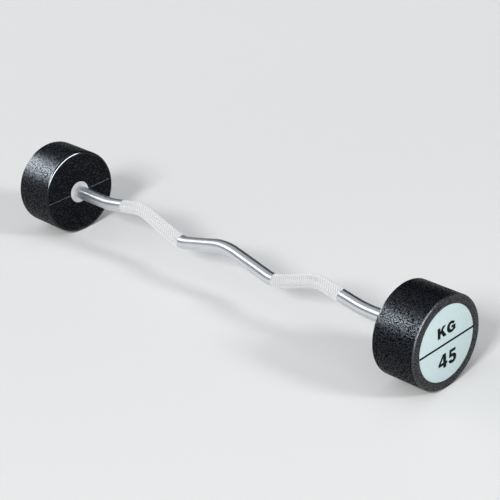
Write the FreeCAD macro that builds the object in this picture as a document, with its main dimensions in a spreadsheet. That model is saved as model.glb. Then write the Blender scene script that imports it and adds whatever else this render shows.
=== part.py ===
import FreeCAD, Part
import math
import os
from types import SimpleNamespace

import Sketcher

# A fixed-weight curl barbell: one bent steel bar and two round rubber-covered heads.
# X runs along the bar, the bends lie in the XZ plane, and the heads stand on Z = 0.

# Driving sizes, in millimetres
driving_sizes = {
    # Bar
    "bar_diameter": 30,
    "end_bend_place": 403,
    "end_bend_radius": 240,
    "outer_bend_place": 278,
    "outer_bend_rise": 22.9,
    "outer_bend_radius": 83,
    "inner_bend_place": 148.5,
    "inner_bend_drop": 23.8,
    "inner_bend_radius": 81,
    "middle_bend_rise": 14.4,
    "middle_bend_radius": 128,
    "spigot_diameter": 26,
    "spigot_chamfer": 1.5,
    "spigot_setback": 1,
    # Heads
    "head_spacing": 1026,
    "head_diameter": 200,
    "head_length": 105,
    "cover_wall": 8.5,
    "cover_web": 8,
    "lip_width": 19.4,
    "bead_width": 6.5,
    "bead_height": 1,
    "bead_round": 0.8,
    "inner_rim_round": 4.5,
    "outer_rim_round": 3.5,
    "label_edge_round": 1,
    "core_chamfer": 4,
    "counterbore_clearance": 3,
    # Collar, washers and bolt
    "collar_diameter": 52,
    "collar_chamfer": 0.8,
    "clamp_washer_diameter": 54,
    "clamp_washer_thickness": 6,
    "clamp_washer_chamfer": 1,
    "lock_washer_diameter": 21,
    "lock_washer_thickness": 3,
    "lock_washer_split": 2.5,
    "bolt_diameter": 12,
    "bolt_length": 40,
    "bolt_head_diameter": 18,
    "bolt_head_height": 12,
    "bolt_head_chamfer": 1,
    "bolt_head_room": 2,
    "bolt_tip_chamfer": 1.5,
    "bolt_socket_width": 10,
    "bolt_socket_depth": 6,
    "bolt_bore_runout": 6,
    # Key
    "key_width": 8,
    "key_height": 7,
    "key_length": 40,
    "key_seat_depth": 4,
    # End plate, screws and label
    "end_plate_thickness": 5.5,
    "screw_inset": 20.5,
    "screw_diameter": 6,
    "screw_head_diameter": 12,
    "screw_length": 16,
    "screw_tip_chamfer": 1,
    "screw_hole_runout": 3,
    "screw_socket_width": 4,
    "screw_socket_depth": 2.5,
    "label_thickness": 2,
    "label_recess": 0.5,
    "label_face_chamfer": 0.4,
    # Fits and cuts
    "fit_clearance": 0.1,
    "bolt_clearance": 0.5,
    "cut_overrun": 5,
}
screw_count = 4
full_turn = 360

doc = FreeCAD.newDocument("CurlBarbell")
sheet = doc.addObject("Spreadsheet::Sheet", "Sizes")
for row, (name, number) in enumerate(driving_sizes.items(), start=1):
    sheet.set(f"A{row}", name)
    sheet.set(f"B{row}", str(number))
    sheet.setAlias(f"B{row}", name)
doc.recompute()


class Length:
    # A number together with the sheet expression that gives it
    def __init__(self, number, text):
        self.number = number
        self.text = text

    def __add__(self, other):
        return Length(self.number + other.number, f"({self.text} + {other.text})")

    def __sub__(self, other):
        return Length(self.number - other.number, f"({self.text} - {other.text})")

    def __neg__(self):
        return Length(-self.number, f"(-{self.text})")

    def __mul__(self, share):
        return Length(self.number * share, f"({self.text} * {share})")

    def __truediv__(self, share):
        return Length(self.number / share, f"({self.text} / {share})")


size = SimpleNamespace(**{name: Length(sheet.get(name), f"Sizes.{name}") for name in driving_sizes})
zero = Length(0, "0")

# Places along the bar, from its middle to the right end
inner_face = size.head_spacing / 2
outer_face = inner_face + size.head_length
core_inner = inner_face + size.cover_web
label_face = outer_face - size.label_recess
label_back = label_face - size.label_thickness
core_outer = label_back - size.end_plate_thickness
bolt_head_top = core_outer - size.bolt_head_room
bolt_head_seat = bolt_head_top - size.bolt_head_height
lock_washer_seat = bolt_head_seat - size.lock_washer_thickness
washer_seat = lock_washer_seat - size.clamp_washer_thickness
spigot_end = washer_seat - size.spigot_setback
bolt_tip = bolt_head_seat - size.bolt_length
bolt_bore_bottom = bolt_tip - size.bolt_bore_runout
key_middle = (core_inner + washer_seat) / 2
key_start = key_middle - size.key_length / 2
key_end = key_middle + size.key_length / 2
screw_head_top = label_back
screw_tip = screw_head_top - size.screw_length

# Radii, from the bar's axis outwards
axis_height = size.head_diameter / 2
head_radius = size.head_diameter / 2
core_radius = head_radius - size.cover_wall
label_opening = head_radius - size.lip_width
label_radius = label_opening - size.fit_clearance
collar_radius = size.collar_diameter / 2
spigot_radius = size.spigot_diameter / 2
spigot_bore = spigot_radius + size.fit_clearance
bolt_radius = size.bolt_diameter / 2
bolt_bore = bolt_radius + size.fit_clearance
bolt_hole = bolt_radius + size.bolt_clearance
clamp_washer_radius = size.clamp_washer_diameter / 2
counterbore_radius = clamp_washer_radius + size.counterbore_clearance
key_bottom = spigot_radius - size.key_seat_depth
key_top = key_bottom + size.key_height
screw_place = label_radius - size.screw_inset


def new_body(label, turn=0):
    # A body on the bar's axis; the left head's pieces are turned half round the upright axis
    body = doc.addObject("PartDesign::Body", label)
    body.Label = label
    body.Placement.Rotation = FreeCAD.Rotation(FreeCAD.Vector(0, 0, 1), turn)
    body.setExpression("Placement.Base.z", axis_height.text)
    return body


def origin_part(body, role):
    return next(part for part in body.Origin.OriginFeatures if part.Role == role)


def new_sketch(body, name, plane, offset=zero):
    sketch = body.newObject("Sketcher::SketchObject", name)
    sketch.AttachmentSupport = (origin_part(body, plane), [""])
    sketch.MapMode = "FlatFace"
    sketch.setExpression("AttachmentOffset.Base.z", offset.text)
    return sketch


def tie(sketch, kind, number, text, *ends):
    # A dimension that follows the sheet
    index = sketch.addConstraint(Sketcher.Constraint(kind, *ends, number))
    sketch.setExpression(f"Constraints[{index}]", text)


def tie_point(sketch, element, end, place):
    # Holds a point at its place from the sketch's origin, on an axis where a distance is zero
    for kind, axis, length in (("DistanceX", -2, place[0]), ("DistanceY", -1, place[1])):
        if length.number == 0:
            sketch.addConstraint(Sketcher.Constraint("PointOnObject", element, end, axis))
        else:
            tie(sketch, kind, length.number, length.text, -1, 1, element, end)


def as_vector(place):
    return FreeCAD.Vector(place[0].number, place[1].number, 0)


def draw_polygon(sketch, corners):
    points = [as_vector(corner) for corner in corners]
    following = points[1:] + points[:1]
    sides = [Part.LineSegment(here, there) for here, there in zip(points, following)]
    sketch.addGeometry(sides)
    for side, corner in enumerate(corners):
        sketch.addConstraint(Sketcher.Constraint("Coincident", side, 2, (side + 1) % len(sides), 1))
        tie_point(sketch, side, 1, corner)


def draw_circle(sketch, radius, place=(zero, zero)):
    circle = sketch.addGeometry(Part.Circle(as_vector(place), FreeCAD.Vector(0, 0, 1), radius.number))
    tie_point(sketch, circle, 3, place)
    tie(sketch, "Radius", radius.number, radius.text, circle)


def draw_slot(sketch, start, end, width):
    # A slot along X with round ends
    radius = width / 2
    centres = (start + radius, end - radius)
    half_turn = math.pi
    quarter_turn = half_turn / 2
    upright = FreeCAD.Vector(0, 0, 1)
    for centre, first_angle in zip(centres, (quarter_turn, -quarter_turn)):
        circle = Part.Circle(as_vector((centre, zero)), upright, radius.number)
        arc = sketch.addGeometry(Part.ArcOfCircle(circle, first_angle, first_angle + half_turn))
        tie_point(sketch, arc, 3, (centre, zero))
    for level in (radius, -radius):
        sketch.addGeometry(Part.LineSegment(*[as_vector((centre, level)) for centre in centres]))
    first_arc, last_arc, upper, lower = range(4)
    joins = [
        (first_arc, 1, upper, 1),
        (upper, 2, last_arc, 2),
        (last_arc, 1, lower, 2),
        (lower, 1, first_arc, 2),
    ]
    for join in joins:
        sketch.addConstraint(Sketcher.Constraint("Tangent", *join))
    sketch.addConstraint(Sketcher.Constraint("Equal", first_arc, last_arc))
    tie(sketch, "Radius", radius.number, radius.text, first_arc)


def draw_hexagon(sketch, width, height=zero):
    # A hexagon at a height above the axis, by its width across flats
    half = width / 2
    corner = half * (2 / math.sqrt(3))
    side = corner / 2
    draw_polygon(sketch, [
        (zero, height + corner), (-half, height + side), (-half, height - side),
        (zero, height - corner), (half, height - side), (half, height + side),
    ])


def turned(body, name, corners, kind="PartDesign::Revolution"):
    # Turns an outline of places along the axis and radii about the bar's axis
    sketch = new_sketch(body, name + "Outline", "XZ_Plane")
    draw_polygon(sketch, corners)
    feature = body.newObject(kind, name)
    feature.Profile = sketch
    feature.ReferenceAxis = (sketch, ["H_Axis"])
    feature.Angle = full_turn
    return feature


def turned_aside(body, name, corners, kind):
    # Turns an outline about a screw's axis, which is parallel to the bar's
    sketch = new_sketch(body, name + "Outline", "XZ_Plane")
    draw_polygon(sketch, corners)
    axis = sketch.addGeometry(Part.LineSegment(as_vector(corners[0]), as_vector(corners[-1])), True)
    sketch.addConstraint(Sketcher.Constraint("Coincident", axis, 1, 0, 1))
    sketch.addConstraint(Sketcher.Constraint("Coincident", axis, 2, len(corners) - 1, 1))
    feature = body.newObject(kind, name)
    feature.Profile = sketch
    feature.ReferenceAxis = (sketch, ["Axis0"])
    feature.Angle = full_turn
    return feature


def pushed(body, name, kind, sketch, length, backwards=False):
    # A pad or pocket of a given length from its sketch
    feature = body.newObject(kind, name)
    feature.Profile = sketch
    feature.setExpression("Length", length.text)
    feature.Reversed = backwards
    return feature


def round_the_axis(body, name, features):
    # Repeats features about the bar's axis
    doc.recompute()
    pattern = body.newObject("PartDesign::PolarPattern", name)
    pattern.Originals = features
    pattern.Axis = (origin_part(body, "X_Axis"), [""])
    pattern.Angle = full_turn
    pattern.Occurrences = screw_count
    body.Tip = pattern
    return pattern


def rounded(body, name, feature, place, radius, edge_round):
    # Rounds the circular edge that lies at a place along the axis and has a given radius
    doc.recompute()
    close = size.fit_clearance.number / 2

    def is_wanted(edge):
        box = edge.BoundBox
        reach = max(box.ZMax, -box.ZMin)
        misses = (box.XMin - place.number, box.XMax - place.number, reach - radius.number)
        return max(abs(miss) for miss in misses) < close

    edges = [f"Edge{index}" for index, edge in enumerate(feature.Shape.Edges, start=1) if is_wanted(edge)]
    fillet = body.newObject("PartDesign::Fillet", name)
    fillet.Base = (feature, edges)
    fillet.setExpression("Radius", edge_round.text)
    return fillet


def bend_points(before, corner, after, radius):
    # Start, crown and end of the arc that rounds a corner, and its centre
    into = (corner - before).normalize()
    out = (after - corner).normalize()
    half_angle = into.getAngle(out) / 2
    reach = radius * math.tan(half_angle)
    inwards = (out - into).normalize()
    centre = corner + inwards * (radius / math.cos(half_angle))
    return corner - into * reach, centre - inwards * radius, corner + out * reach, centre


def arc_about(centre, start, end):
    # The short arc between two points about a centre
    spoke = (start - centre) + (end - centre)
    crown = centre + spoke.normalize() * start.distanceToPoint(centre)
    return Part.Arc(start, crown, end)


def end_near(sketch, element, point):
    # Which end of a drawn element lies at a point
    return min((1, 2), key=lambda end: sketch.getPoint(element, end).distanceToPoint(point))


def draw_bar_line(sketch):
    # The bar's centre line from the right head's collar to the middle: straights joined by bends
    corners = [
        (inner_face, zero),
        (size.end_bend_place, zero),
        (size.outer_bend_place, size.outer_bend_rise),
        (size.inner_bend_place, -size.inner_bend_drop),
        (zero, size.middle_bend_rise),
    ]
    radii = [size.end_bend_radius, size.outer_bend_radius, size.inner_bend_radius, size.middle_bend_radius]
    points = [as_vector(corner) for corner in corners]
    beyond_middle = FreeCAD.Vector(-points[-2].x, points[-2].y, 0)
    stops = points + [beyond_middle]

    chain = []
    here = points[0]
    for index, radius in enumerate(radii, start=1):
        start, crown, end, centre = bend_points(*stops[index - 1:index + 2], radius.number)
        bend_end = crown if index == len(radii) else end
        straight = sketch.addGeometry(Part.LineSegment(here, start))
        bend = sketch.addGeometry(arc_about(centre, start, bend_end))
        tie(sketch, "Radius", radius.number, radius.text, bend)
        chain += [(straight, start), (bend, bend_end)]
        here = bend_end

    # Neighbours run smoothly into each other
    for (before, meeting), (after, _) in zip(chain, chain[1:]):
        join = (before, end_near(sketch, before, meeting), after, end_near(sketch, after, meeting))
        sketch.addConstraint(Sketcher.Constraint("Tangent", *join))

    # Each straight passes through the corners at its two ends
    straights = [element for element, _ in chain[::2]]
    tie_point(sketch, straights[0], 1, corners[0])
    marks = []
    for corner in corners[1:]:
        mark = sketch.addGeometry(Part.Point(as_vector(corner)), True)
        tie_point(sketch, mark, 1, corner)
        marks.append(mark)
    for straight, mark in [*zip(straights, marks), *zip(straights[1:], marks)]:
        sketch.addConstraint(Sketcher.Constraint("PointOnObject", mark, 1, straight))

    # The middle bend is square to the plane between the two halves
    middle_bend, middle = chain[-1]
    for end in (3, end_near(sketch, middle_bend, middle)):
        sketch.addConstraint(Sketcher.Constraint("PointOnObject", middle_bend, end, -2))
    return len(chain)


def make_curl_bar():
    # One steel bar, bent in one plane, with a turned and keyed spigot at each end
    body = new_body("curl_bar")
    line = new_sketch(body, "BarLine", "XZ_Plane")
    edge_count = draw_bar_line(line)
    section = new_sketch(body, "BarSection", "YZ_Plane", inner_face)
    draw_circle(section, size.bar_diameter / 2)
    rod = body.newObject("PartDesign::AdditivePipe", "BentRod")
    rod.Profile = section
    rod.Spine = (line, [f"Edge{index}" for index in range(1, edge_count + 1)])
    spigot = turned(body, "Spigot", [
        (inner_face, zero),
        (inner_face, spigot_radius),
        (spigot_end - size.spigot_chamfer, spigot_radius),
        (spigot_end, spigot_radius - size.spigot_chamfer),
        (spigot_end, zero),
    ])
    past_end = spigot_end + size.cut_overrun
    bore = turned(body, "BoltBore", [
        (bolt_bore_bottom, zero),
        (bolt_bore_bottom, bolt_bore),
        (past_end, bolt_bore),
        (past_end, zero),
    ], "PartDesign::Groove")
    seat_top = spigot_radius + size.cut_overrun
    seat_outline = new_sketch(body, "KeySeatOutline", "XY_Plane", seat_top)
    draw_slot(seat_outline, key_start - size.fit_clearance, key_end + size.fit_clearance,
              size.key_width + size.fit_clearance * 2)
    key_seat = pushed(body, "KeySeat", "PartDesign::Pocket", seat_outline, seat_top - key_bottom)
    doc.recompute()
    both_ends = body.newObject("PartDesign::Mirrored", "BothEnds")
    both_ends.Originals = [rod, spigot, bore, key_seat]
    both_ends.MirrorPlane = (origin_part(body, "YZ_Plane"), [""])
    body.Tip = both_ends
    return body


def make_stop_collar(label, turn):
    # Flat steel ring between the bar's shoulder and the core
    body = new_body(label, turn)
    turned(body, "Ring", [
        (inner_face, spigot_bore),
        (inner_face, collar_radius - size.collar_chamfer),
        (inner_face + size.collar_chamfer, collar_radius),
        (core_inner, collar_radius),
        (core_inner, spigot_bore),
    ])
    return body


def make_drive_key(label, turn):
    # Round-ended key that holds the head in line with the bends
    body = new_body(label, turn)
    outline = new_sketch(body, "KeyOutline", "XY_Plane", key_bottom)
    draw_slot(outline, key_start, key_end, size.key_width)
    pushed(body, "Key", "PartDesign::Pad", outline, size.key_height)
    return body


def core_rim():
    # The core's outer outline, which the rubber is moulded round
    shoulder_radius = core_radius - size.core_chamfer
    return [
        (core_inner, shoulder_radius),
        (core_inner + size.core_chamfer, core_radius),
        (core_outer - size.core_chamfer, core_radius),
        (core_outer, shoulder_radius),
    ]


def make_weight_core(label, turn):
    # Solid steel weight, bored and keyed for the spigot and counterbored for the bolt
    body = new_body(label, turn)
    turned(body, "Core", [
        (core_inner, spigot_bore),
        *core_rim(),
        (core_outer, counterbore_radius),
        (washer_seat, counterbore_radius),
        (washer_seat, spigot_bore),
    ])
    keyway_outline = new_sketch(body, "KeywayOutline", "YZ_Plane", core_inner)
    half_width = size.key_width / 2 + size.fit_clearance
    keyway_top = key_top + size.fit_clearance
    draw_polygon(keyway_outline, [
        (-half_width, zero), (half_width, zero), (half_width, keyway_top), (-half_width, keyway_top),
    ])
    pushed(body, "Keyway", "PartDesign::Pocket", keyway_outline, washer_seat - core_inner, backwards=True)
    hole_outline = new_sketch(body, "ScrewHoleOutline", "YZ_Plane", core_outer)
    draw_circle(hole_outline, size.screw_diameter / 2 + size.fit_clearance, (zero, screw_place))
    depth = core_outer - screw_tip + size.screw_hole_runout
    hole = pushed(body, "ScrewHole", "PartDesign::Pocket", hole_outline, depth)
    round_the_axis(body, "ScrewHoles", [hole])
    return body


def make_rubber_cover(label, turn):
    # Moulded rubber shell: a beaded inner face, the wall, and a lip round the label
    body = new_body(label, turn)
    collar_hole = collar_radius + size.fit_clearance
    bead_inside = head_radius - size.bead_width
    face = inner_face + size.bead_height
    shell = turned(body, "Shell", [
        (core_inner, collar_hole),
        (face, collar_hole),
        (face, bead_inside),
        (inner_face, bead_inside),
        (inner_face, head_radius),
        (outer_face, head_radius),
        (outer_face, label_opening),
        (core_outer, label_opening),
        *reversed(core_rim()),
    ])
    rims = [
        ("InnerRim", inner_face, head_radius, size.inner_rim_round),
        ("Bead", inner_face, bead_inside, size.bead_round),
        ("OuterRim", outer_face, head_radius, size.outer_rim_round),
        ("LabelEdge", outer_face, label_opening, size.label_edge_round),
    ]
    feature = shell
    for name, place, radius, edge_round in rims:
        feature = rounded(body, name, feature, place, radius, edge_round)
    return body


def make_clamp_washer(label, turn):
    # Thick washer that pulls the core against the collar
    body = new_body(label, turn)
    turned(body, "Washer", [
        (washer_seat, bolt_hole),
        (washer_seat, clamp_washer_radius),
        (lock_washer_seat - size.clamp_washer_chamfer, clamp_washer_radius),
        (lock_washer_seat, clamp_washer_radius - size.clamp_washer_chamfer),
        (lock_washer_seat, bolt_hole),
    ])
    return body


def make_lock_washer(label, turn):
    # Split spring washer, pressed flat
    body = new_body(label, turn)
    radius = size.lock_washer_diameter / 2
    turned(body, "Washer", [
        (lock_washer_seat, bolt_hole),
        (lock_washer_seat, radius),
        (bolt_head_seat, radius),
        (bolt_head_seat, bolt_hole),
    ])
    split_outline = new_sketch(body, "SplitOutline", "YZ_Plane", bolt_head_seat)
    half_split = size.lock_washer_split / 2
    past_rim = radius + size.cut_overrun
    draw_polygon(split_outline, [
        (-half_split, zero), (half_split, zero), (half_split, past_rim), (-half_split, past_rim),
    ])
    pushed(body, "Split", "PartDesign::Pocket", split_outline, size.lock_washer_thickness)
    return body


def make_end_bolt(label, turn):
    # Socket-head bolt into the end of the bar
    body = new_body(label, turn)
    head = size.bolt_head_diameter / 2
    turned(body, "Bolt", [
        (bolt_tip, zero),
        (bolt_tip, bolt_radius - size.bolt_tip_chamfer),
        (bolt_tip + size.bolt_tip_chamfer, bolt_radius),
        (bolt_head_seat, bolt_radius),
        (bolt_head_seat, head),
        (bolt_head_top - size.bolt_head_chamfer, head),
        (bolt_head_top, head - size.bolt_head_chamfer),
        (bolt_head_top, zero),
    ])
    socket = new_sketch(body, "SocketOutline", "YZ_Plane", bolt_head_top)
    draw_hexagon(socket, size.bolt_socket_width)
    pushed(body, "Socket", "PartDesign::Pocket", socket, size.bolt_socket_depth)
    return body


def countersink(clearance):
    # Radius of a screw's shank and head, and the length of its cone, with room around it
    shank = size.screw_diameter / 2 + clearance
    head = size.screw_head_diameter / 2 + clearance
    return shank, head, head - shank


def make_end_plate(label, turn):
    # Steel disc that closes the counterbore and backs the label
    body = new_body(label, turn)
    turned(body, "Plate", [
        (core_outer, zero),
        (core_outer, label_radius),
        (label_back, label_radius),
        (label_back, zero),
    ])
    shank, head, cone = countersink(size.fit_clearance)
    behind = core_outer - size.cut_overrun
    hole = turned_aside(body, "ScrewHole", [
        (behind, screw_place),
        (behind, screw_place + shank),
        (screw_head_top - cone, screw_place + shank),
        (screw_head_top, screw_place + head),
        (screw_head_top, screw_place),
    ], "PartDesign::Groove")
    round_the_axis(body, "ScrewHoles", [hole])
    return body


def make_end_plate_screws(label, turn):
    # Countersunk socket screws, flush with the plate
    body = new_body(label, turn)
    body.AllowCompound = True
    shank, head, cone = countersink(zero)
    screw = turned_aside(body, "Screw", [
        (screw_tip, screw_place),
        (screw_tip, screw_place + shank - size.screw_tip_chamfer),
        (screw_tip + size.screw_tip_chamfer, screw_place + shank),
        (screw_head_top - cone, screw_place + shank),
        (screw_head_top, screw_place + head),
        (screw_head_top, screw_place),
    ], "PartDesign::Revolution")
    socket_outline = new_sketch(body, "SocketOutline", "YZ_Plane", screw_head_top)
    draw_hexagon(socket_outline, size.screw_socket_width, screw_place)
    socket = pushed(body, "Socket", "PartDesign::Pocket", socket_outline, size.screw_socket_depth)
    round_the_axis(body, "Screws", [screw, socket])
    return body


def make_label_disc(label, turn):
    # Thin printed disc, set just below the rubber lip
    body = new_body(label, turn)
    turned(body, "Disc", [
        (label_back, zero),
        (label_back, label_radius),
        (label_face - size.label_face_chamfer, label_radius),
        (label_face, label_radius - size.label_face_chamfer),
        (label_face, zero),
    ])
    return body


head_pieces = {
    "stop_collar": make_stop_collar,
    "drive_key": make_drive_key,
    "weight_core": make_weight_core,
    "rubber_cover": make_rubber_cover,
    "clamp_washer": make_clamp_washer,
    "lock_washer": make_lock_washer,
    "end_bolt": make_end_bolt,
    "end_plate": make_end_plate,
    "end_plate_screws": make_end_plate_screws,
    "label_disc": make_label_disc,
}
side_turns = {"right": 0, "left": full_turn / 2}

pieces = [make_curl_bar()]
for side, turn in side_turns.items():
    pieces += [make(f"{side}_{name}", turn) for name, make in head_pieces.items()]
doc.recompute()

# Every feature has to be sound before anything is written
for feature in doc.Objects:
    if {"Invalid", "Error"} & set(feature.State):
        raise RuntimeError(f"{feature.Label} failed: {feature.State}")
for piece in pieces:
    if piece.Shape.isNull() or not piece.Shape.isValid() or not piece.Shape.Solids:
        raise RuntimeError(f"{piece.Label} has no sound solid")

os.makedirs("parts", exist_ok=True)
for piece in pieces:
    piece.Shape.exportStep(f"parts/{piece.Label}.step")
    print(piece.Label, len(piece.Shape.Solids), round(piece.Shape.Volume))
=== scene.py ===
import math

import bmesh
import bpy
from mathutils import Matrix, Vector


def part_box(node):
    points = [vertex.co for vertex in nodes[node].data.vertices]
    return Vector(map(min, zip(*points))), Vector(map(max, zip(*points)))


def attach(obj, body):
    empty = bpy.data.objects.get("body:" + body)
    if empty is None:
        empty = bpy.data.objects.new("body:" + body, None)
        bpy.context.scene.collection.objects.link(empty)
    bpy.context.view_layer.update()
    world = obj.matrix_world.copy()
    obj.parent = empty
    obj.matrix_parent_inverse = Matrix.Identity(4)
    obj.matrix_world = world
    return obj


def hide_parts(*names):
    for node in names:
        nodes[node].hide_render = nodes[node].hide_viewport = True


# Looks for a fixed-weight curl barbell: a chromed bent bar with two cut grips, rubber heads, labels.
# Metres, in the frame's axes: X runs along the bar, Z is up, and the heads stand on the floor.

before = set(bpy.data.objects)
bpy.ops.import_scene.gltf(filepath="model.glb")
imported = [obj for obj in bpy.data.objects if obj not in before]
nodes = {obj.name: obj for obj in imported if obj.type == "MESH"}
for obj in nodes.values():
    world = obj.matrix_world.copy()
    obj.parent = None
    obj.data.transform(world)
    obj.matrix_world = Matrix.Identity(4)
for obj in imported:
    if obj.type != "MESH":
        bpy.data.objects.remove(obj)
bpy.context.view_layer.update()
scene = bpy.context.scene
scene.view_settings.view_transform = "Standard"
print("frame loaded:", len(nodes), "nodes")


# Places read from the frame, on the right-hand head
coverLow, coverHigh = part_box("right_rubber_cover")
coreLow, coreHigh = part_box("right_weight_core")
collarLow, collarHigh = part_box("right_stop_collar")
labelLow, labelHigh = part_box("right_label_disc")
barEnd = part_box("curl_bar")[1].x
axisHeight = (coverLow.z + coverHigh.z) / 2
toAxis = Matrix.Translation((0, 0, axisHeight))
sides = {"right": toAxis, "left": toAxis @ Matrix.Rotation(math.pi, 4, "Z")}


def radiusOf(low, high):
    return (high.z - low.z) / 2


# Small class for shader maths: operators on a wrapped socket add Math nodes
class Signal:
    def __init__(self, finish, socket):
        self.finish = finish
        self.socket = socket

    def math(self, operation, first, second):
        return self.finish.node("Math", {"operation": operation}, {0: first, 1: second})

    def __add__(self, other):
        return self.math("ADD", self, other)

    def __sub__(self, other):
        return self.math("SUBTRACT", self, other)

    def __rsub__(self, other):
        return self.math("SUBTRACT", other, self)

    def __mul__(self, other):
        return self.math("MULTIPLY", self, other)

    def fold(self, width):
        return self.math("PINGPONG", self, width)

    __radd__ = __add__
    __rmul__ = __mul__


class Finish:
    def __init__(self, owner):
        owner.use_nodes = True
        self.owner = owner
        self.tree = owner.node_tree
        self.tree.nodes.clear()

    # Settings go in first, then values or links into the sockets; gives back one output
    def node(self, kind, settings=None, inputs=None, output=0):
        made = self.tree.nodes.new("ShaderNode" + kind)
        for name, value in (settings or {}).items():
            setattr(made, name, value)
        for name, value in (inputs or {}).items():
            if isinstance(value, Signal):
                self.tree.links.new(value.socket, made.inputs[name])
            else:
                made.inputs[name].default_value = value
        return Signal(self, made.outputs[output]) if made.outputs else None

    # Colours come as three numbers or as the output of another node
    def blend(self, share, first, second):
        ends = [colour if isinstance(colour, Signal) else (*colour, 1) for colour in (first, second)]
        return self.node("Mix", {"data_type": "RGBA"}, {0: share, 6: ends[0], 7: ends[1]}, 2)

    def mixCoats(self, share, first, second):
        return self.node("MixShader", None, {0: share, 1: first, 2: second})

    def objectPlace(self):
        return self.node("TexCoord", output="Object")

    def along(self, place, axis):
        return self.node("SeparateXYZ", None, {"Vector": place}, axis)

    def stretched(self, place, scale):
        return self.node("Mapping", None, {"Vector": place, "Scale": scale})

    def noise(self, place, scale=1, detail=3.0):
        return self.node("TexNoise", None, {"Vector": place, "Scale": scale, "Detail": detail})

    # Distance from the middle of the nearest cell
    def cells(self, place, scale):
        return self.node("TexVoronoi", None, {"Vector": place, "Scale": scale}, "Distance")

    # One chance number for each cell
    def crumbs(self, place, scale):
        return self.node("TexVoronoi", None, {"Vector": place, "Scale": scale}, "Color")

    def fade(self, value, start, end):
        limits = {"Value": value, "From Min": start, "From Max": end}
        return self.node("MapRange", {"interpolation_type": "SMOOTHSTEP"}, limits)

    def bump(self, height, strength, depth):
        inputs = {"Height": height, "Strength": strength, "Distance": depth}
        return self.node("Bump", None, inputs, "Normal")

    def coat(self, **sockets):
        inputs = {name.replace("_", " "): value for name, value in sockets.items()}
        return self.node("BsdfPrincipled", None, inputs, "BSDF")

    def surface(self, shader):
        self.node("OutputMaterial", None, {"Surface": shader})
        return self.owner


def newFinish(name):
    return Finish(bpy.data.materials.new(name))


# Finishes. Unevenness is what wear adds to the roughness, and relief is a bump's strength and depth
def makeChrome():
    chrome = dict(
        tint=(0.81, 0.835, 0.87),
        dull=(0.74, 0.765, 0.81),
        smearScale=22,
        smearShare=0.6,
        scuffStretch=(900, 40, 40),
        roughness=0.30,
        unevenness=0.06,
        turning=0.9,
    )
    paint = newFinish("brightChrome")
    place = paint.objectPlace()
    smears = paint.noise(place, chrome["smearScale"])
    scuffsAndPaintedHighlight = paint.noise(paint.stretched(place, chrome["scuffStretch"]))
    return paint.surface(paint.coat(
        Base_Color=paint.blend(smears * chrome["smearShare"], chrome["tint"], chrome["dull"]),
        Metallic=1.0,
        Roughness=chrome["roughness"] + chrome["unevenness"] * smears * scuffsAndPaintedHighlight,
        Anisotropic=chrome["turning"],
    ))


# Grips: painted shade in a hatch of crossing lines over the cut diamonds, and painted shade in the hollows
# between their tips
def makeCutChrome():
    cut = dict(
        tint=(1.0, 1.0, 1.0),
        # dull is the painted shade of the hatch lines
        dull=(0.68, 0.69, 0.70),
        valleyShade=(0.30, 0.30, 0.30),
        valleyShadeFade=(0.0, 0.32),
        hatchWidth=0.006,
        hatchLean=0.7,
        hatchFade=(0.45, 0.05),
        metal=0.15,
        roughness=0.46,
        unevenness=0.16,
    )
    paint = newFinish("cutChrome")
    place = paint.objectPlace()
    along = paint.along(place, "X")
    lean = cut["hatchLean"] * paint.along(place, "Y")
    half = cut["hatchWidth"] / 2
    rising = (along + lean).fold(half) * (1 / half)
    falling = (along - lean).fold(half) * (1 / half)
    # Hatch lines of painted shade, standing in for shade in the knurl's grooves; they also roughen the
    # metal
    wearAndPaintedShade = paint.fade(rising * falling, *cut["hatchFade"])
    tipShare = paint.node("Attribute", {"attribute_name": "tipShare"}, None, "Fac")
    hatched = paint.blend(wearAndPaintedShade, cut["tint"], cut["dull"])
    return paint.surface(paint.coat(
        # Painted shade: darker away from the tips, in the hollows of the cut
        Base_Color=paint.blend(paint.fade(tipShare, *cut["valleyShadeFade"]), cut["valleyShade"], hatched),
        Metallic=cut["metal"],
        Roughness=cut["roughness"] + cut["unevenness"] * wearAndPaintedShade,
    ))


def makeSatinSteel():
    satin = dict(
        tint=(0.77, 0.785, 0.795),
        dull=(0.64, 0.655, 0.665),
        cloudScale=90,
        latheScale=60,
        latheStretch=(1, 1, 70 / 3),
        metal=0.4,
        roughness=0.42,
        unevenness=0.15,
        relief=(0.15, 0.0002),
    )
    paint = newFinish("satinSteel")
    place = paint.objectPlace()
    cloud = paint.noise(place, satin["cloudScale"])
    lathe = paint.noise(paint.stretched(place, satin["latheStretch"]), satin["latheScale"])
    return paint.surface(paint.coat(
        Base_Color=paint.blend(cloud, satin["tint"], satin["dull"]),
        Metallic=satin["metal"],
        Roughness=satin["roughness"] + satin["unevenness"] * lathe,
        Normal=paint.bump(lathe, *satin["relief"]),
    ))


# Rubber pebbles: each shines on its top and is dull round its edge
def makeGrainedRubber(name, dullShine, glintShine):
    grain = dict(
        cell=410,
        glintFade=(0.66, 0.28),
        relief=(0.5, 0.0005),
        patchScale=25,
        dull=(0.0014, 0.0018, 0.0027),
        dullRoughness=0.36,
        dullUnevenness=0.1,
        glint=(0.0060, 0.0072, 0.0105),
        glintRoughness=0.31,
        glintUnevenness=0.08,
    )
    paint = newFinish(name)
    place = paint.objectPlace()
    pebbles = paint.cells(place, grain["cell"])
    shiny = paint.fade(pebbles, *grain["glintFade"])
    patches = paint.noise(place, grain["patchScale"])
    normal = paint.bump(1 - pebbles, *grain["relief"])
    dull = paint.coat(
        Base_Color=paint.blend(patches, grain["dull"], grain["glint"]),
        Roughness=grain["dullRoughness"] + grain["dullUnevenness"] * patches,
        Specular_IOR_Level=dullShine,
        Normal=normal,
    )
    glint = paint.coat(
        Base_Color=paint.blend(patches, grain["glint"], grain["dull"]),
        Roughness=grain["glintRoughness"] + grain["glintUnevenness"] * patches,
        Specular_IOR_Level=glintShine,
        Normal=normal,
    )
    return paint.surface(paint.mixCoats(shiny, dull, glint))


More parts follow.
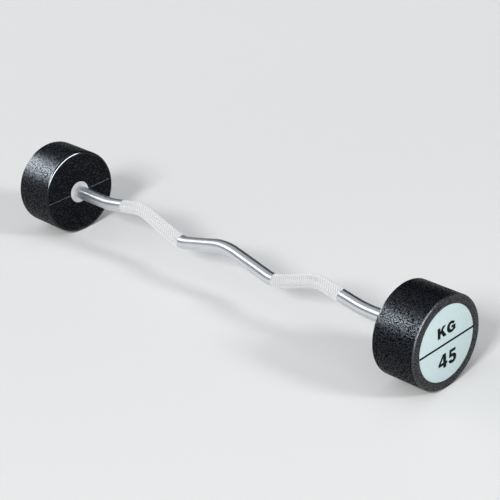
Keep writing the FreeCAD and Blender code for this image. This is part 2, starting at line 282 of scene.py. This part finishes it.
def makeSmoothRubber():
    smooth = dict(
        cell=600,
        dark=(0.0012, 0.0015, 0.0025),
        fleck=(0.040, 0.044, 0.054),
        fleckFade=(0.7, 0.95),
        roughness=0.30,
        unevenness=0.12,
        shine=0.05,
        relief=(0.5, 0.0006),
    )
    paint = newFinish("smoothRubber")
    place = paint.objectPlace()
    pebbles = paint.cells(place, smooth["cell"])
    flecks = paint.fade(paint.crumbs(place, smooth["cell"]), *smooth["fleckFade"])
    return paint.surface(paint.coat(
        Base_Color=paint.blend(flecks, smooth["dark"], smooth["fleck"]),
        Roughness=smooth["roughness"] + smooth["unevenness"] * flecks,
        Specular_IOR_Level=smooth["shine"],
        Normal=paint.bump(pebbles, *smooth["relief"]),
    ))


def makeRimRubber():
    rim = dict(
        dark=(0.0015, 0.0017, 0.0025),
        pale=(0.004, 0.0045, 0.006),
        cloudScale=140,
        roughness=0.09,
        unevenness=0.08,
        shine=0.3,
        relief=(0.1, 0.0003),
    )
    paint = newFinish("rimRubber")
    cloud = paint.noise(paint.objectPlace(), rim["cloudScale"])
    return paint.surface(paint.coat(
        Base_Color=paint.blend(cloud, rim["dark"], rim["pale"]),
        Roughness=rim["roughness"] + rim["unevenness"] * cloud,
        Specular_IOR_Level=rim["shine"],
        Normal=paint.bump(cloud, *rim["relief"]),
    ))


# Seam: pale patches of scuffed rubber that also paint in the highlight of light caught on the seam's edge
def makeSeamRubber():
    seam = dict(
        dark=(0.004, 0.004, 0.006),
        # pale is scuffed rubber and painted highlight
        pale=(0.022, 0.022, 0.025),
        scuffAndHighlightScale=170,
        scuffAndHighlightDetail=1.0,
        scuffAndHighlightFade=(0.45, 0.7),
        roughness=0.55,
        unevenness=0.2,
        shine=0.3,
    )
    paint = newFinish("seamRubber")
    cloud = paint.noise(paint.objectPlace(), seam["scuffAndHighlightScale"], seam["scuffAndHighlightDetail"])
    scuffsAndPaintedHighlight = paint.fade(cloud, *seam["scuffAndHighlightFade"])
    return paint.surface(paint.coat(
        Base_Color=paint.blend(scuffsAndPaintedHighlight, seam["dark"], seam["pale"]),
        Roughness=seam["roughness"] + seam["unevenness"] * scuffsAndPaintedHighlight,
        Specular_IOR_Level=seam["shine"],
    ))


def makeLabelFace():
    label = dict(
        tint=(0.562, 0.68, 0.695),
        worn=(0.46, 0.57, 0.583),
        cloudScale=14,
        cloudShare=0.3,
        fleckScale=400,
        fleckShare=0.5,
        roughness=0.5,
        unevenness=0.12,
        relief=(0.1, 0.0002),
    )
    paint = newFinish("paleLabel")
    place = paint.objectPlace()
    cloud = paint.noise(place, label["cloudScale"])
    fleck = paint.crumbs(place, label["fleckScale"])
    wearAndPaintedShade = cloud * label["cloudShare"] + fleck * label["fleckShare"]
    return paint.surface(paint.coat(
        Base_Color=paint.blend(wearAndPaintedShade, label["tint"], label["worn"]),
        Roughness=label["roughness"] + label["unevenness"] * fleck,
        Normal=paint.bump(fleck, *label["relief"]),
    ))


def makeLabelInk():
    ink = dict(
        dark=(0.003, 0.004, 0.004),
        pale=(0.007, 0.009, 0.009),
        cloudScale=800,
        roughness=0.4,
        unevenness=0.15,
        shine=0.06,
    )
    paint = newFinish("labelInk")
    cloud = paint.noise(paint.objectPlace(), ink["cloudScale"])
    return paint.surface(paint.coat(
        Base_Color=paint.blend(cloud, ink["dark"], ink["pale"]),
        Roughness=ink["roughness"] + ink["unevenness"] * cloud,
        Specular_IOR_Level=ink["shine"],
    ))


def makeInnerSteel(name, tint, shade, roughness):
    steel = dict(
        cloudScale=70,
        turnedScale=40,
        turnedStretch=(1, 30, 30),
        metal=0.9,
        unevenness=0.15,
        relief=(0.2, 0.0002),
    )
    paint = newFinish(name)
    place = paint.objectPlace()
    cloud = paint.noise(place, steel["cloudScale"])
    turned = paint.noise(paint.stretched(place, steel["turnedStretch"]), steel["turnedScale"])
    return paint.surface(paint.coat(
        Base_Color=paint.blend(cloud, tint, shade),
        Metallic=steel["metal"],
        Roughness=roughness + steel["unevenness"] * turned,
        Normal=paint.bump(turned, *steel["relief"]),
    ))


brightChrome = makeChrome()
cutChrome = makeCutChrome()
satinSteel = makeSatinSteel()
wallRubber = makeGrainedRubber("wallRubber", dullShine=0.0, glintShine=0.25)
lipRubber = makeGrainedRubber("lipRubber", dullShine=0.12, glintShine=0.85)
edgeRubber = makeGrainedRubber("edgeRubber", dullShine=0.28, glintShine=1.0)
smoothRubber = makeSmoothRubber()
rimRubber = makeRimRubber()
seamRubber = makeSeamRubber()
paleLabel = makeLabelFace()
labelInk = makeLabelInk()
print("finishes made")


# Shared by all the meshes: sharp edges, welded points and rounded corners
sharpAngle = math.radians(35)
weldDistance = 1e-6
roundCorner = dict(offset_type="OFFSET", profile=0.5, affect="VERTICES", material=-1)


# One finished piece: its mesh goes into the scene, rides on the frame and stands for a CAD node
def addPiece(name, bm, finishes, node=None):
    mesh = bpy.data.meshes.new(name)
    bm.to_mesh(mesh)
    bm.free()
    mesh.set_sharp_from_angle(angle=sharpAngle)
    for finish in finishes:
        mesh.materials.append(finish)
    piece = bpy.data.objects.new(name, mesh)
    scene.collection.objects.link(piece)
    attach(piece, "root")
    if node:
        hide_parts(node)
    return piece


def smoothFaces(bm):
    for face in bm.faces:
        face.smooth = True


def vertsIn(geometry):
    return [part for part in geometry if isinstance(part, bmesh.types.BMVert)]


def edgesIn(geometry):
    return [part for part in geometry if isinstance(part, bmesh.types.BMEdge)]


# A box of this size about a middle point; gives back its points
def addBox(bm, size, middle):
    verts = bmesh.ops.create_cube(bm, size=1)["verts"]
    bmesh.ops.scale(bm, verts=verts, vec=size)
    bmesh.ops.translate(bm, verts=verts, vec=middle)
    return verts


# Draws a ring of edges out into a band; gives back the new ring's points and edges
def extrudeRing(bm, ring):
    made = bmesh.ops.extrude_edge_only(bm, edges=ring)["geom"]
    verts = vertsIn(made)
    ends = set(verts)
    return verts, [edge for edge in edgesIn(made) if set(edge.verts) <= ends]


# A closed outline of (place along the axis, radius) with rounded corners, spun about the bar's axis
def spinOutline(outline, rounds, turns):
    bm = bmesh.new()
    points = {name: bm.verts.new((x, 0, radius)) for name, (x, radius) in outline.items()}
    ring = list(points.values())
    for here, there in zip(ring, ring[1:] + ring[:1]):
        bm.edges.new((here, there))
    for name, (roundness, steps) in rounds.items():
        bmesh.ops.bevel(bm, geom=[points[name]], offset=roundness, segments=steps, **roundCorner)
    bmesh.ops.spin(bm, geom=bm.verts[:] + bm.edges[:], axis=(1, 0, 0), angle=math.tau, steps=turns,
                   use_merge=True)
    bmesh.ops.remove_doubles(bm, verts=bm.verts, dist=weldDistance)
    bmesh.ops.recalc_face_normals(bm, faces=bm.faces)
    smoothFaces(bm)
    return bm


# Bent bar: a ring walks from the right head to the middle, and the half it leaves is mirrored
curlBar = dict(
    radius=0.015,
    sides=64,
    bends=[  # corner along X, corner height, bend radius
        (0.403, 0, 0.240),
        (0.278, 0.0229, 0.083),
        (0.1485, -0.0238, 0.081),
        (0, 0.0144, 0.128),
    ],
    bendSteps=20,
    gripFrom=0.345,  # the grip runs from here on the second straight to the crown of the third bend
    gripPitch=0.00255,
    gripRaise=0.0004,
    gripSink=0.0001,
    spigotRadius=0.013,
    spigotChamfer=0.0015,
    mirrorWeld=1e-5,
    polishPlace=(0, -1, 0),  # a texture space far to one side turns the polish's grain round the bar
    polishSize=(1000, 1, 1),
)
barFinishes = [brightChrome, cutChrome]
cutIndex = barFinishes.index(cutChrome)


class RingWalk:
    def __init__(self, bm, ring, place, heading):
        self.bm = bm
        self.ring = ring
        self.place = place
        self.heading = heading  # unit vector in the plane of the bends

    def straight(self, length, steps=1):
        shift = self.heading * (length / steps)
        for _ in range(steps):
            verts, self.ring = extrudeRing(self.bm, self.ring)
            bmesh.ops.translate(self.bm, verts=verts, vec=shift)
            self.place = self.place + shift

    def bend(self, radius, turn, steps):
        side = math.copysign(1, turn)
        across = Matrix.Rotation(side * math.pi / 2, 3, "Y") @ self.heading
        centre = self.place + across * radius
        made = bmesh.ops.spin(self.bm, geom=self.ring, cent=centre, axis=(0, 1, 0), angle=turn, steps=steps)
        self.ring = edgesIn(made["geom_last"])
        turning = Matrix.Rotation(turn, 3, "Y")
        self.place = centre + turning @ (self.place - centre)
        self.heading = turning @ self.heading


def makeCurlBar():
    bm = bmesh.new()
    # tipShare is 1 on the knurl's tips and 0 in the hollows between them, where the grip finish paints
    # shade
    bm.verts.layers.float.new("tipShare")
    pitch = curlBar["gripPitch"]
    bendSteps = curlBar["bendSteps"]
    start = Vector((coverLow.x, 0, 0))
    circle = bmesh.ops.create_circle(bm, segments=curlBar["sides"], radius=curlBar["radius"])["verts"]
    bmesh.ops.rotate(bm, verts=circle, matrix=Matrix.Rotation(math.pi / 2, 3, "Y"))
    bmesh.ops.translate(bm, verts=circle, vec=start)
    shoulder = bm.edges[:]
    walk = RingWalk(bm, shoulder, start, Vector((-1, 0, 0)))

    corners = [Vector((x, 0, z)) for x, z, _ in curlBar["bends"]]
    afterMiddle = Vector((-corners[-2].x, 0, corners[-2].z))
    for index, (_, _, bendRadius) in enumerate(curlBar["bends"]):
        ahead = (corners + [afterMiddle])[index + 1] - corners[index]
        turn = walk.heading.angle(ahead)
        if walk.heading.cross(ahead).y < 0:
            turn = -turn
        reach = bendRadius * math.tan(abs(turn) / 2)
        run = (corners[index] - walk.place).length - reach
        arc = bendRadius * abs(turn)
        if index == 0:  # smooth from the head through the first bend
            walk.straight(run)
            walk.bend(bendRadius, turn, bendSteps)
        elif index == 1:  # the grip starts on this straight and takes the whole bend
            smoothRun = (walk.place.x - curlBar["gripFrom"]) / abs(walk.heading.x)
            walk.straight(smoothRun)
            beforeGrip = set(bm.faces)
            walk.straight(run - smoothRun, round((run - smoothRun) / pitch))
            walk.bend(bendRadius, turn, round(arc / pitch))
        elif index == 2:  # and ends at this bend's crown
            walk.straight(run, round(run / pitch))
            walk.bend(bendRadius, turn / 2, round(arc / 2 / pitch))
            gripCells = [face for face in bm.faces if face not in beforeGrip]
            walk.bend(bendRadius, turn / 2, bendSteps)
        else:  # half of the middle bend
            walk.straight(run)
            walk.bend(bendRadius, turn / 2, bendSteps)

    cutGrip(bm, gripCells)
    addSpigot(bm, shoulder)
    everything = bm.verts[:] + bm.edges[:] + bm.faces[:]
    bmesh.ops.mirror(bm, geom=everything, axis="X", merge_dist=curlBar["mirrorWeld"])
    bmesh.ops.remove_doubles(bm, verts=bm.verts, dist=weldDistance)
    bmesh.ops.recalc_face_normals(bm, faces=bm.faces)
    bmesh.ops.transform(bm, matrix=toAxis, verts=bm.verts)
    for face in bm.faces:
        face.smooth = face.material_index != cutIndex
    for edge in bm.edges:
        finishesHere = {face.material_index for face in edge.link_faces}
        edge.smooth = len(finishesHere) == 1
    bar = addPiece("curlBar", bm, barFinishes, "curl_bar")
    bar.data.use_auto_texspace = False
    bar.data.texspace_location = curlBar["polishPlace"]
    bar.data.texspace_size = curlBar["polishSize"]


# Diamond knurl: cells are poked, their own edges dissolved, and each diamond left becomes a low pyramid
def cutGrip(bm, cells):
    bmesh.ops.recalc_face_normals(bm, faces=bm.faces)
    inGrip = set(cells)
    cellEdges = [edge for edge in bm.edges if edge.link_faces and inGrip.issuperset(edge.link_faces)]
    floorVerts = [vert for vert in bm.verts if vert.link_faces and inGrip.issuperset(vert.link_faces)]
    for face in cells:
        face.material_index = cutIndex
    floorVerts += bmesh.ops.poke(bm, faces=cells)["verts"]
    bm.normal_update()
    for vert in floorVerts:
        vert.co -= vert.normal * curlBar["gripSink"]
    bmesh.ops.dissolve_edges(bm, edges=cellEdges, use_verts=False)
    diamonds = [face for face in bm.faces if face.material_index == cutIndex and len(face.verts) == 4]
    tips = bmesh.ops.poke(bm, faces=diamonds)["verts"]
    bm.normal_update()
    tipShare = bm.verts.layers.float["tipShare"]
    for tip in tips:
        tip.co += tip.normal * (curlBar["gripRaise"] + curlBar["gripSink"])
        tip[tipShare] = 1


# Turned end inside the head
def addSpigot(bm, shoulder):
    length = barEnd - coverLow.x
    chamfer = curlBar["spigotChamfer"]
    full = curlBar["spigotRadius"]
    steps = [(0, full), (length - chamfer, full), (chamfer, full - chamfer)]  # way along, new radius
    ring = shoulder
    radius = curlBar["radius"]
    for shift, newRadius in steps:
        verts, ring = extrudeRing(bm, ring)
        grow = newRadius / radius
        radius = newRadius
        bmesh.ops.scale(bm, verts=verts, vec=(1, grow, grow))
        bmesh.ops.translate(bm, verts=verts, vec=(shift, 0, 0))
    bmesh.ops.contextual_create(bm, geom=ring)


makeCurlBar()
print("bar bent and knurled")


# Rubber cover: beaded inner face, wall, rounded rims and the lip round the label
rubberCover = dict(
    turns=240,
    beadWidth=0.0065,
    beadHeight=0.001,
    beadRound=0.0008,
    innerRound=0.0045,
    outerRound=0.0035,
    labelRound=0.001,
    rimSteps=8,
    edgeSteps=4,
    gap=0.0001,
    coreChamfer=0.004,
    seamWidth=0.0012,
    seamHeight=0.0003,
)


def makeRubberCover(side, place):
    headRadius = radiusOf(coverLow, coverHigh)
    coreRadius = radiusOf(coreLow, coreHigh)
    collarHole = radiusOf(collarLow, collarHigh) + rubberCover["gap"]
    opening = radiusOf(labelLow, labelHigh) + rubberCover["gap"]
    face = coverLow.x + rubberCover["beadHeight"]
    beadInside = headRadius - rubberCover["beadWidth"]
    chamfer = rubberCover["coreChamfer"]
    outline = {
        "collarBack": (coreLow.x, collarHole),
        "collarFront": (face, collarHole),
        "beadRoot": (face, beadInside),
        "beadEdge": (coverLow.x, beadInside),
        "innerRim": (coverLow.x, headRadius),
        "outerRim": (coverHigh.x, headRadius),
        "labelEdge": (coverHigh.x, opening),
        "labelSeat": (coreHigh.x, opening),
        "coreShoulder": (coreHigh.x, coreRadius - chamfer),
        "coreOuterEdge": (coreHigh.x - chamfer, coreRadius),
        "coreInnerEdge": (coreLow.x + chamfer, coreRadius),
        "coreFoot": (coreLow.x, coreRadius - chamfer),
    }
    rounds = {
        "beadEdge": (rubberCover["beadRound"], rubberCover["edgeSteps"]),
        "innerRim": (rubberCover["innerRound"], rubberCover["rimSteps"]),
        "outerRim": (rubberCover["outerRound"], rubberCover["rimSteps"]),
        "labelEdge": (rubberCover["labelRound"], rubberCover["edgeSteps"]),
    }
    bm = spinOutline(outline, rounds, rubberCover["turns"])
    finishes = [wallRubber, lipRubber, edgeRubber, smoothRubber, rimRubber, seamRubber]
    for polygon in bm.faces:
        middle = polygon.calc_center_median()
        fromAxis = math.hypot(middle.y, middle.z)
        if middle.x > coverHigh.x - rubberCover["outerRound"]:
            onEdge = fromAxis > headRadius - rubberCover["outerRound"]
            polygon.material_index = finishes.index(edgeRubber if onEdge else lipRubber)
        elif middle.x < coverLow.x + rubberCover["innerRound"]:
            onFace = fromAxis < beadInside + rubberCover["beadRound"]
            polygon.material_index = finishes.index(smoothRubber if onFace else rimRubber)
    addSeam(bm, face, collarHole, beadInside, finishes.index(seamRubber))
    bmesh.ops.transform(bm, matrix=place, verts=bm.verts)
    return addPiece(side + "RubberCover", bm, finishes, side + "_rubber_cover")


# Fine moulding seam across the inner face, level with the bar
def addSeam(bm, face, inner, outer, finish):
    size = (2 * rubberCover["seamHeight"], outer - inner, rubberCover["seamWidth"])
    for direction in (1, -1):
        ridge = addBox(bm, size, (face, direction * (inner + outer) / 2, 0))
        for polygon in {polygon for vert in ridge for polygon in vert.link_faces}:
            polygon.material_index = finish


# Steel ring on the inner face
stopCollar = dict(turns=120, chamfer=0.0008, chamferSteps=3)


def makeStopCollar(side, place):
    outer = radiusOf(collarLow, collarHigh)
    inner = curlBar["spigotRadius"] + rubberCover["gap"]
    outline = {
        "boreFront": (collarLow.x, inner),
        "edge": (collarLow.x, outer),
        "rim": (collarHigh.x, outer),
        "boreBack": (collarHigh.x, inner),
    }
    rounds = {"edge": (stopCollar["chamfer"], stopCollar["chamferSteps"])}
    bm = spinOutline(outline, rounds, stopCollar["turns"])
    bmesh.ops.transform(bm, matrix=place, verts=bm.verts)
    addPiece(side + "StopCollar", bm, [satinSteel], side + "_stop_collar")


# Label disc
labelDisc = dict(turns=160, chamfer=0.0004, chamferSteps=2)


def makeLabelDisc(side, place):
    radius = radiusOf(labelLow, labelHigh)
    outline = {
        "backMiddle": (labelLow.x, 0),
        "backRim": (labelLow.x, radius),
        "faceRim": (labelHigh.x, radius),
        "faceMiddle": (labelHigh.x, 0),
    }
    rounds = {"faceRim": (labelDisc["chamfer"], labelDisc["chamferSteps"])}
    bm = spinOutline(outline, rounds, labelDisc["turns"])
    bmesh.ops.transform(bm, matrix=place, verts=bm.verts)
    addPiece(side + "LabelDisc", bm, [paleLabel], side + "_label_disc")


# Printing on the label: a line, a number under it and a unit over it
labelPrint = dict(
    depth=0.00012,
    line=dict(height=0.0003, width=0.0046),
    number=dict(glyphs="45", middle=(0.001, -0.0355), spacing=0.003),
    unit=dict(glyphs="KG", middle=(0.001, 0.0305), spacing=0.0015),
    curveSteps=8,
    perMetre=1000,
    outlines={  # millimetres; a point with a third item lies on a curve
        "4": [
            [(14, 0), (23, 0), (23, 6.5), (26.5, 6.5), (26.5, 12.5), (23, 12.5), (23, 31), (13.5, 31),
             (0, 12.5), (0, 6.5), (14, 6.5)],
            [(14, 12.5), (7, 12.5), (14, 22.5)],
        ],
        "5": [
            [(2.2, 14.2), (4.2, 31), (22.5, 31), (22.5, 24.6), (10.2, 24.6), (9.8, 20), (13, 20.6, 1),
             (21.5, 17, 1), (24, 10.4, 1), (20.6, 2.8, 1), (11.6, -0.4, 1), (3.6, 2, 1), (0, 8), (8.8, 9),
             (11.6, 6, 1), (14.9, 10.1, 1), (11.8, 14.4, 1), (9.6, 13.4)],
        ],
        "K": [
            [(0, 0), (8, 0), (8, 7.5), (10.2, 10), (16.4, 0), (26, 0), (15.8, 15.3), (25.4, 24), (15, 24),
             (8, 15.8), (8, 24), (0, 24)],
        ],
        "G": [
            [(24.5, 19.4), (13.4, 24.4, 1), (3.6, 20.8, 1), (0, 12, 1), (3.6, 3.2, 1), (13.4, -0.4, 1),
             (25.4, 3.4), (25.4, 13.8), (13.2, 13.8), (13.2, 8.6), (17.8, 8.6), (17.8, 6.6), (13.6, 5.6, 1),
             (8.4, 12, 1), (13.4, 18.2, 1), (20, 15)],
        ],
    },
)


def makeLabelPrint(side, place):
    bm = bmesh.new()
    depth = labelPrint["depth"]
    line = labelPrint["line"]
    reach = math.sqrt(radiusOf(labelLow, labelHigh) ** 2 - line["height"] ** 2) - labelDisc["chamfer"]
    addBox(bm, (depth, 2 * reach, line["width"]), (labelHigh.x + depth / 2, 0, line["height"]))
    addGlyphs(bm, **labelPrint["number"])
    addGlyphs(bm, **labelPrint["unit"])
    bmesh.ops.transform(bm, matrix=place, verts=bm.verts)
    addPiece(side + "LabelPrint", bm, [labelInk])


# Numbers and letters in a row about a middle point (along Y, up Z) on the label's face
def addGlyphs(bm, glyphs, middle, spacing):
    perMetre = labelPrint["perMetre"]
    shapes = bpy.data.curves.new("labelGlyphs", "CURVE")
    shapes.dimensions = "2D"
    shapes.fill_mode = "BOTH"
    shapes.resolution_u = labelPrint["curveSteps"]
    pen = 0
    for glyph in glyphs:
        outlines = labelPrint["outlines"][glyph]
        for outline in outlines:
            spline = shapes.splines.new("BEZIER")
            spline.bezier_points.add(len(outline) - 1)
            spline.use_cyclic_u = True
            for point, (x, y, *curved) in zip(spline.bezier_points, outline):
                point.co = (pen + x / perMetre, y / perMetre, 0)
                point.handle_left_type = point.handle_right_type = "AUTO" if curved else "VECTOR"
        pen += max(x for x, *_ in outlines[0]) / perMetre + spacing
    drawn = bpy.data.objects.new("labelGlyphs", shapes)
    scene.collection.objects.link(drawn)
    flat = bpy.data.meshes.new_from_object(drawn.evaluated_get(bpy.context.evaluated_depsgraph_get()))
    bpy.data.objects.remove(drawn)
    before = set(bm.verts)
    bm.from_mesh(flat)
    letters = [vert for vert in bm.verts if vert not in before]
    tall = max(vert.co.y for vert in letters)
    bmesh.ops.translate(bm, verts=letters, vec=(-(pen - spacing) / 2, -tall / 2, 0))
    upright = Matrix(((0, 0, 1), (1, 0, 0), (0, 1, 0)))  # drawn X runs along Y, drawn Y up
    bmesh.ops.rotate(bm, verts=letters, matrix=upright)
    bmesh.ops.translate(bm, verts=letters, vec=(labelHigh.x, *middle))
    faces = [face for face in bm.faces if not before.intersection(face.verts)]
    raised = bmesh.ops.extrude_face_region(bm, geom=faces)["geom"]
    bmesh.ops.translate(bm, verts=vertsIn(raised), vec=(labelPrint["depth"], 0, 0))


covers = {side: makeRubberCover(side, place) for side, place in sides.items()}
for side, place in sides.items():
    makeStopCollar(side, place)
    makeLabelDisc(side, place)
    makeLabelPrint(side, place)
print("heads dressed")


# Inner pieces stay as they come from the frame, with their own finishes: name, tint, shade, roughness
innerFinishes = {
    "weight_core": makeInnerSteel("coreSteel", (0.20, 0.20, 0.21), (0.13, 0.13, 0.14), 0.5),
    "drive_key": makeInnerSteel("keySteel", (0.42, 0.42, 0.43), (0.33, 0.33, 0.34), 0.35),
    "clamp_washer": makeInnerSteel("washerSteel", (0.60, 0.60, 0.58), (0.50, 0.50, 0.49), 0.35),
    "lock_washer": makeInnerSteel("springSteel", (0.52, 0.52, 0.52), (0.43, 0.43, 0.44), 0.33),
    "end_bolt": makeInnerSteel("blackBolt", (0.045, 0.045, 0.048), (0.025, 0.025, 0.028), 0.42),
    "end_plate": makeInnerSteel("plateSteel", (0.56, 0.56, 0.55), (0.47, 0.47, 0.47), 0.4),
    "end_plate_screws": makeInnerSteel("screwSteel", (0.50, 0.50, 0.50), (0.41, 0.41, 0.42), 0.33),
}
for side in sides:
    for name, finish in innerFinishes.items():
        inner = nodes[f"{side}_{name}"]
        inner.data.materials.clear()
        inner.data.materials.append(finish)
print("inner pieces finished")


# Floor that curves up into a low wall all round, with painted light making it paler far from the camera
studioFloor = dict(
    radius=13,
    turns=96,
    sweepRadius=2.3,
    sweepSteps=12,
    weld=1e-4,
    tint=(0.80, 0.80, 0.795),
    farPaintedLight=(0.88, 0.88, 0.875),
    farWay=(-0.75, 0.66),  # along X and Y
    farFade=(0.2, 2.6),
    cloudScale=1.5,
    cloudShare=0.05,
    roughness=0.7,
    unevenness=0.1,
    shine=0.1,
)


def makeFloor():
    bm = bmesh.new()
    edge = studioFloor["radius"]
    middle = bm.verts.new((0, 0, 0))
    rim = bm.verts.new((edge, 0, 0))
    bm.edges.new((middle, rim))
    bmesh.ops.spin(bm, geom=[rim], cent=(edge, 0, studioFloor["sweepRadius"]), axis=(0, -1, 0),
                   angle=math.pi / 2, steps=studioFloor["sweepSteps"])
    bmesh.ops.spin(bm, geom=bm.verts[:] + bm.edges[:], axis=(0, 0, 1), angle=math.tau,
                   steps=studioFloor["turns"], use_merge=True)
    bmesh.ops.remove_doubles(bm, verts=bm.verts, dist=studioFloor["weld"])
    smoothFaces(bm)
    mesh = bpy.data.meshes.new("studioFloor")
    bm.to_mesh(mesh)
    bm.free()
    mesh.materials.append(makeFloorPaint())
    floor = bpy.data.objects.new("studioFloor", mesh)
    scene.collection.objects.link(floor)


def makeFloorPaint():
    paint = newFinish("paleFloor")
    place = paint.objectPlace()
    cloud = paint.noise(place, studioFloor["cloudScale"])
    farX, farY = studioFloor["farWay"]
    distance = farX * paint.along(place, "X") + farY * paint.along(place, "Y")
    # Painted light: the floor's colour grows paler along farWay, with a little random cloud on top
    share = paint.fade(distance, *studioFloor["farFade"]) + studioFloor["cloudShare"] * cloud
    return paint.surface(paint.coat(
        Base_Color=paint.blend(share, studioFloor["tint"], studioFloor["farPaintedLight"]),
        Roughness=studioFloor["roughness"] + studioFloor["unevenness"] * cloud,
        Specular_IOR_Level=studioFloor["shine"],
    ))


# Room light: stronger overhead, and nearly dark behind, which gives the chrome its dark band
studioRoom = dict(
    tint=(0.97, 1.0, 1.04),
    level=0.24,
    overhead=0.27,
    overheadFade=(0.2, 0.9),
    darkShare=0.98,
    darkLean=0.55,
    darkFade=(0.0, 0.25),
)


def makeRoom():
    room = bpy.data.worlds.new("studioRoom")
    scene.world = room
    paint = Finish(room)
    direction = paint.node("TexCoord", output="Generated")
    height = paint.along(direction, "Z")
    behind = paint.along(direction, "Y") - studioRoom["darkLean"] * height
    dark = studioRoom["darkShare"] * paint.fade(behind, *studioRoom["darkFade"])
    overhead = studioRoom["overhead"] * paint.fade(height, *studioRoom["overheadFade"])
    light = {"Color": (*studioRoom["tint"], 1), "Strength": (studioRoom["level"] + overhead) * (1 - dark)}
    glow = paint.node("Background", None, light, "Background")
    paint.node("OutputWorld", None, {"Surface": glow})


# Lamps: name, direction from the object, distance, width, height, power, and a tilt where it has one
lamps = dict(
    target=(0, 0, 0.05),
    keyLamps=[  # these leave no glare on shiny surfaces
        ("frontLamp", (0.265, -0.765, 0.588), 16, 4.0, 4.0, 1600),
        ("rightLamp", (0.842, 0.27, 0.468), 16, 3.0, 3.0, 1050),
    ],
    softboxes=[
        ("leftSoftbox", (-0.75, -0.34, 0.57), 16, 11.0, 7.0, 330),
    ],
    chromeGleams=[  # these show in shiny surfaces only
        ("frontGleam", (-0.25, -0.55, 0.80), 16, 5.0, 3.0, 600),
        ("leftGleam", (-0.75, -0.34, 0.57), 16, 9.0, 4.0, 560),
    ],
    rubberGleams=[  # and these only in the rubber of the heads named last
        ("wallGleam", (-0.838, -0.275, 0.471), 2.0, 0.8, 0.6, 84, ("right", "left")),
        ("nearGleam", (-0.318, -0.690, 0.650), 1.78, 0.56, 0.56, 80, ("right", "left")),
        ("rimGleam", (0.835, 0.047, 0.549), 3.0, 1.0, 5.5, 2600, -70.7, ("left",)),
        ("lipGleam", (0.82, -0.33, 0.46), 4.0, 1.5, 4.5, 620, -43, ("right",)),
    ],
    gleamTint=(0.82, 0.92, 1.0),
)


def addLamp(name, direction, distance, width, height, power, tilt=0):
    light = bpy.data.lights.new(name, "AREA")
    light.shape = "RECTANGLE"
    light.size = width
    light.size_y = height
    light.energy = power
    lamp = bpy.data.objects.new(name, light)
    toLamp = Vector(direction).normalized()
    lamp.location = Vector(lamps["target"]) + toLamp * distance
    facing = toLamp.to_track_quat("Z", "Y").to_matrix()
    lamp.rotation_euler = (facing @ Matrix.Rotation(math.radians(tilt), 3, "Z")).to_euler()
    lamp.visible_camera = False
    scene.collection.objects.link(lamp)
    return lamp


makeFloor()
makeRoom()
for keyLamp in lamps["keyLamps"]:
    addLamp(*keyLamp).visible_glossy = False
for softbox in lamps["softboxes"]:
    addLamp(*softbox)
for chromeGleam in lamps["chromeGleams"]:
    addLamp(*chromeGleam).visible_diffuse = False
for name, *rubberGleam, heads in lamps["rubberGleams"]:
    gleam = addLamp(name, *rubberGleam)
    gleam.visible_diffuse = False
    gleam.data.color = lamps["gleamTint"]
    litOnly = bpy.data.collections.new(name + "Only")
    for side in heads:
        litOnly.objects.link(covers[side])
    gleam.light_linking.receiver_collection = litOnly


# Camera at the photograph's angle
view = dict(
    place=(2.25828, -1.94834, 1.65123),
    azimuth=48.208,
    elevation=27.482,
    roll=-5.251,
    lens=110.853,
    sensor=36,
)
eye = bpy.data.cameras.new("photoCamera")
eye.sensor_width = view["sensor"]
eye.lens = view["lens"]
camera = bpy.data.objects.new("photoCamera", eye)
turn = Matrix.Rotation(math.radians(view["azimuth"]), 4, "Z")
tilt = Matrix.Rotation(math.radians(90 - view["elevation"]), 4, "X")
roll = Matrix.Rotation(math.radians(view["roll"]), 4, "Z")
camera.matrix_world = Matrix.Translation(view["place"]) @ turn @ tilt @ roll
scene.collection.objects.link(camera)
scene.camera = camera
print("stage and camera set")
